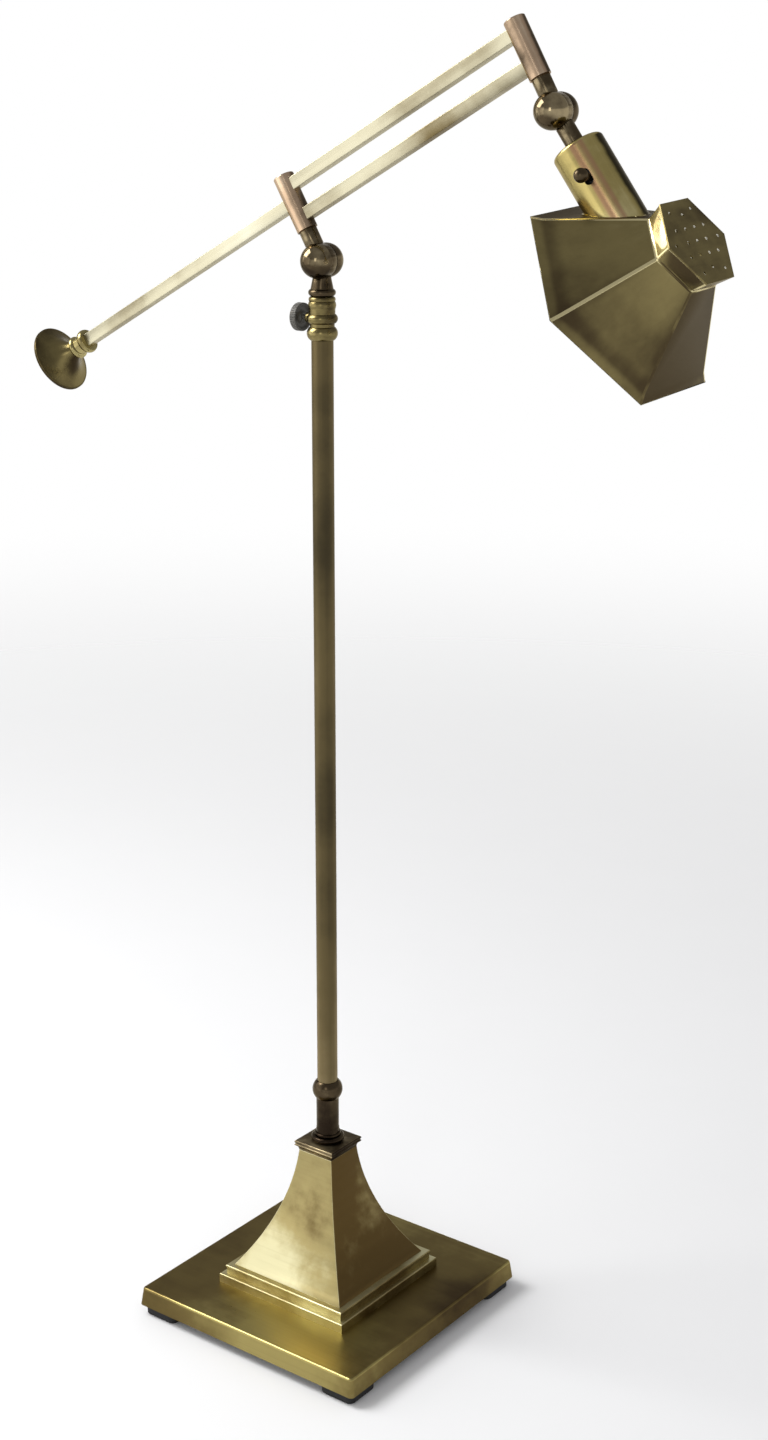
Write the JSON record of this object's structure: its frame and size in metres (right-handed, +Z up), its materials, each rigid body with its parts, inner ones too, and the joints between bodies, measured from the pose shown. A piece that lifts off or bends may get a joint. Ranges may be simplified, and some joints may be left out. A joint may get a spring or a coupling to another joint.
{
  "type": "bridge floor lamp",
  "caption": "Brass floor lamp: square stepped base, telescoping round column, counterweighted double-bar arm with two friction knuckles, and a hexagonal cone shade with a perforated end.",
  "frame": {"origin": "centre of the base at the floor, under the four feet's soles", "axes": "+Z up along the column; +X the side that the arm carries the shade to when it is in line with the base; -Y the side of the knuckles' dome nuts"},
  "size_m": [0.7936, 0.3048, 1.4019],
  "materials": {
    "rubber_feet": "moulded, matt black",
    "foot_screws": "zinc plated",
    "base_cover": "antique satin, lengthwise brushed grain",
    "base_weight": "as cast, painted black",
    "pipe_washer": "zinc plated",
    "pipe_nut": "zinc plated",
    "lamp_pipe": "zinc plated",
    "cord_bushing": "black",
    "plinth_lower": "antique satin, lengthwise brushed grain",
    "plinth_upper": "antique satin, lengthwise brushed grain",
    "pyramid_shell": "antique satin, lengthwise brushed grain",
    "cap_plate": "dark bronzed patina, satin",
    "column_socket": "dark bronzed patina, satin",
    "column_tube": "antique satin, lengthwise brushed grain",
    "top_collar": "antique satin, lengthwise brushed grain",
    "thumbscrew_shank": "zinc plated",
    "thumbscrew_knob": "black",
    "mast_tube": "drawn tube, satin",
    "mast_guide": "natural nylon",
    "neck": "dark bronzed patina, satin",
    "neck_grub": "zinc plated",
    "rear_knuckle_bolt": "zinc plated",
    "rear_knuckle_washer": "fibre friction disc",
    "rear_knuckle_cap": "dark bronzed patina, satin",
    "rear_post_stem": "dark bronzed patina, satin",
    "rear_post": "dark bronzed patina, satin",
    "rear_post_cap": "dark bronzed patina, satin",
    "lower_bar": "antique satin, lengthwise brushed grain",
    "upper_bar": "antique satin, lengthwise brushed grain",
    "front_post_stem": "dark bronzed patina, satin",
    "front_post": "dark bronzed patina, satin",
    "front_post_cap": "dark bronzed patina, satin",
    "counter_bar": "antique satin, lengthwise brushed grain",
    "counterweight_collar": "antique satin, lengthwise brushed grain",
    "counterweight_bell": "antique satin, lengthwise brushed grain",
    "counterweight_slug": "as cast, painted black",
    "counterweight_bolt": "zinc plated",
    "counterweight_back": "antique satin, lengthwise brushed grain",
    "shade_stem": "dark bronzed patina, satin",
    "front_knuckle_bolt": "zinc plated",
    "front_knuckle_washer": "fibre friction disc",
    "front_knuckle_cap": "dark bronzed patina, satin",
    "socket_cover": "antique satin, lengthwise brushed grain",
    "cover_nipple": "zinc plated",
    "cover_nut": "zinc plated",
    "lampholder_body": "moulded, black",
    "lampholder_shell": "pressed, bright",
    "lampholder_contact": "pressed, bright",
    "bulb_cap": "rolled screw cap",
    "bulb_glass": "frosted inside",
    "shade_shell": "antique satin, lengthwise brushed grain",
    "shade_end_plate": "antique satin, lengthwise brushed grain",
    "switch_knob": "dark bronzed patina, satin"
  },
  "bodies": {
    "base": {"rubber_feet": "rubber_feet", "foot_screws": "foot_screws", "base_cover": "base_cover", "base_weight": "base_weight", "pipe_washer": "pipe_washer", "pipe_nut": "pipe_nut", "lamp_pipe": "lamp_pipe", "cord_bushing": "cord_bushing", "plinth_lower": "plinth_lower", "plinth_upper": "plinth_upper", "pyramid_shell": "pyramid_shell", "cap_plate": "cap_plate", "column_socket": "column_socket", "column_tube": "column_tube", "top_collar": "top_collar"},
    "thumbscrew": {"thumbscrew_shank": "thumbscrew_shank", "thumbscrew_knob": "thumbscrew_knob"},
    "mast": {"mast_tube": "mast_tube", "mast_guide": "mast_guide"},
    "swivel": {"neck": "neck", "neck_grub": "neck_grub", "rear_knuckle_bolt": "rear_knuckle_bolt", "rear_knuckle_washer": "rear_knuckle_washer", "rear_knuckle_cap": "rear_knuckle_cap"},
    "arm": {"rear_post_stem": "rear_post_stem", "rear_post": "rear_post", "rear_post_cap": "rear_post_cap", "lower_bar": "lower_bar", "upper_bar": "upper_bar", "front_post_stem": "front_post_stem", "front_post": "front_post", "front_post_cap": "front_post_cap", "counter_bar": "counter_bar", "counterweight_collar": "counterweight_collar", "counterweight_bell": "counterweight_bell", "counterweight_slug": "counterweight_slug", "counterweight_bolt": "counterweight_bolt", "counterweight_back": "counterweight_back"},
    "head": {"shade_stem": "shade_stem", "front_knuckle_bolt": "front_knuckle_bolt", "front_knuckle_washer": "front_knuckle_washer", "front_knuckle_cap": "front_knuckle_cap", "socket_cover": "socket_cover", "cover_nipple": "cover_nipple", "cover_nut": "cover_nut", "lampholder_body": "lampholder_body", "lampholder_shell": "lampholder_shell", "lampholder_contact": "lampholder_contact", "bulb_cap": "bulb_cap", "bulb_glass": "bulb_glass", "shade_shell": "shade_shell", "shade_end_plate": "shade_end_plate"},
    "switch": {"switch_knob": "switch_knob"}
  },
  "joints": [
    {"name": "thumbscrew_turn", "type": "hinge", "parent": "base", "child": "thumbscrew", "pos_m": [0, 0, 1.113], "axis": [-1, 0, 0], "continuous": true},
    {"name": "mast_height", "type": "slide", "parent": "base", "child": "mast", "axis": [0, 0, 1], "range_m": [0, 0.3]},
    {"name": "arm_swivel", "type": "hinge", "parent": "mast", "child": "swivel", "pos_m": [0, 0, 1.144], "axis": [0, 0, 1], "range_deg": [-175, 175]},
    {"name": "arm_tilt", "type": "hinge", "parent": "swivel", "child": "arm", "pos_m": [0, 0, 1.17], "axis": [0.0854, -0.9963, 0], "range_deg": [-45, 40]},
    {"name": "head_tilt", "type": "hinge", "parent": "arm", "child": "head", "pos_m": [0.25799, 0.02212, 1.3165], "axis": [0.0854, -0.9963, 0], "range_deg": [-40, 60]},
    {"name": "switch_turn", "type": "hinge", "parent": "head", "child": "switch", "pos_m": [0.30024, 0.02574, 1.25769], "axis": [0.2244, -0.9692, 0.1016], "continuous": true}
  ]
}
